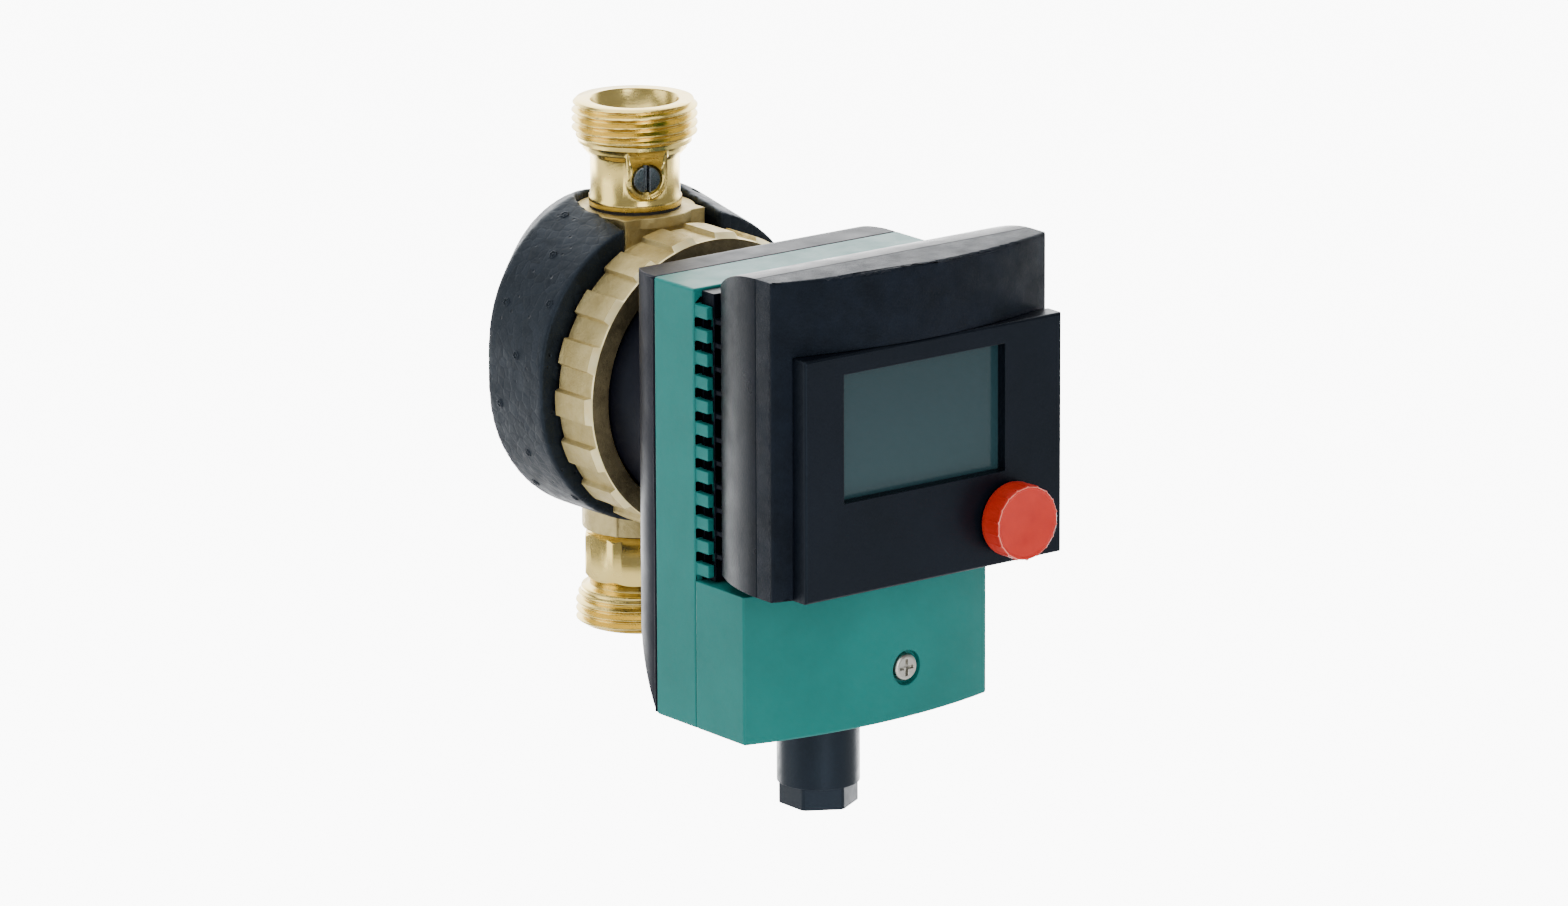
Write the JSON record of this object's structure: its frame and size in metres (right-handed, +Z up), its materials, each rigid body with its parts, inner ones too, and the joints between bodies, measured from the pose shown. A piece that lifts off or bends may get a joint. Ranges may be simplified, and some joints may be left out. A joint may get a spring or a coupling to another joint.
{
  "type": "circulator pump",
  "caption": "Wet-rotor hot water circulator with threaded ports, a ball valve, a check valve, foam insulation and an electronics module with display and push-and-turn knob.",
  "frame": {"origin": "centre of the lower port's end face", "axes": "+Z up along both ports, -Y towards the display, +X to the right seen from the display"},
  "size_m": [0.0876, 0.1469, 0.1715],
  "materials": {
    "cast_brass": "rough cast",
    "machined_brass": "bright turned",
    "green_shell": "satin",
    "black_casing": "satin black",
    "black_hood": "fine spark-eroded texture",
    "black_panel": "satin",
    "display_glass": "smooth grey-teal",
    "lcd_body": "matt",
    "red_knob": "satin red",
    "foam_black": "moulded bead foam",
    "gland_black": "satin nylon",
    "seal_rubber": "matt",
    "zinc_steel": "zinc plated",
    "dark_steel": "turned",
    "stainless": "drawn",
    "chromed_ball": "polished",
    "seat_plastic": "smooth",
    "check_plastic": "smooth",
    "impeller_plastic": "moulded",
    "carbon": "polished carbon",
    "laminations": "stacked sheet",
    "winding_copper": "enamelled wire",
    "rotor_steel": "ground",
    "board_green": "solder mask",
    "component_grey": "moulded",
    "component_dark": "moulded"
  },
  "bodies": {
    "pump": {"pump_housing": "cast_brass", "union_ring": "cast_brass", "insulation_left": "foam_black", "insulation_right": "foam_black", "ball_valve_body": "machined_brass", "ball_seat_lower": "seat_plastic", "ball_seat_upper": "seat_plastic", "ball_retainer": "machined_brass", "upper_seal": "seal_rubber", "lower_seal": "seal_rubber", "check_valve_body": "machined_brass", "check_valve_guide": "check_plastic", "check_valve_spring": "stainless", "bearing_plate": "stainless", "plate_bearing": "carbon", "can_bearing": "carbon", "can_bearing_seat": "stainless", "separating_can": "stainless", "housing_gasket": "seal_rubber", "stator_core": "laminations", "stator_windings": "winding_copper", "motor_housing": "black_casing", "rear_casing": "black_casing", "case_screws": "zinc_steel", "middle_shell": "green_shell", "front_cover": "green_shell", "cover_screw": "zinc_steel", "power_board": "board_green", "terminal_block": "component_grey", "board_capacitor": "component_dark", "board_transformer": "component_dark", "board_relay": "component_grey", "board_link": "component_dark", "display_board": "board_green", "lcd_module": "lcd_body", "lcd_window": "display_glass", "hood_shell": "black_hood", "hood_bezel": "black_hood", "front_panel": "black_panel", "encoder": "component_dark", "gland_body": "gland_black", "gland_seal": "seal_rubber", "gland_nut": "gland_black"},
    "rotor": {"impeller": "impeller_plastic", "rotor_shaft": "rotor_steel", "rotor_core": "rotor_steel"},
    "ball": {"valve_ball": "chromed_ball", "valve_spindle": "dark_steel"},
    "check": {"check_valve_cone": "check_plastic"},
    "plunger": {"encoder_plunger": "stainless"},
    "knob": {"knob_shaft": "component_grey", "knob": "red_knob"}
  },
  "joints": [
    {"name": "rotor_spin", "type": "hinge", "parent": "pump", "child": "rotor", "pos_m": [0, -0.04, 0.07], "axis": [0, -1, 0], "continuous": true},
    {"name": "ball_valve_turn", "type": "hinge", "parent": "pump", "child": "ball", "pos_m": [0, 0, 0.121], "axis": [-0.3746, -0.9272, 0], "range_deg": [0, 90]},
    {"name": "check_valve_lift", "type": "slide", "parent": "pump", "child": "check", "axis": [0, 0, -1], "range_m": [0, 0.005], "stiffness_N_per_m": 60, "springref_m": -0.004, "deforming": ["check_valve_spring"]},
    {"name": "knob_press", "type": "slide", "parent": "pump", "child": "plunger", "axis": [0, 1, 0], "range_m": [0, 0.0007], "stiffness_N_per_m": 2000, "springref_m": -0.001},
    {"name": "knob_turn", "type": "hinge", "parent": "plunger", "child": "knob", "pos_m": [0.0263, -0.1261, 0.0494], "axis": [0, -1, 0], "continuous": true}
  ]
}
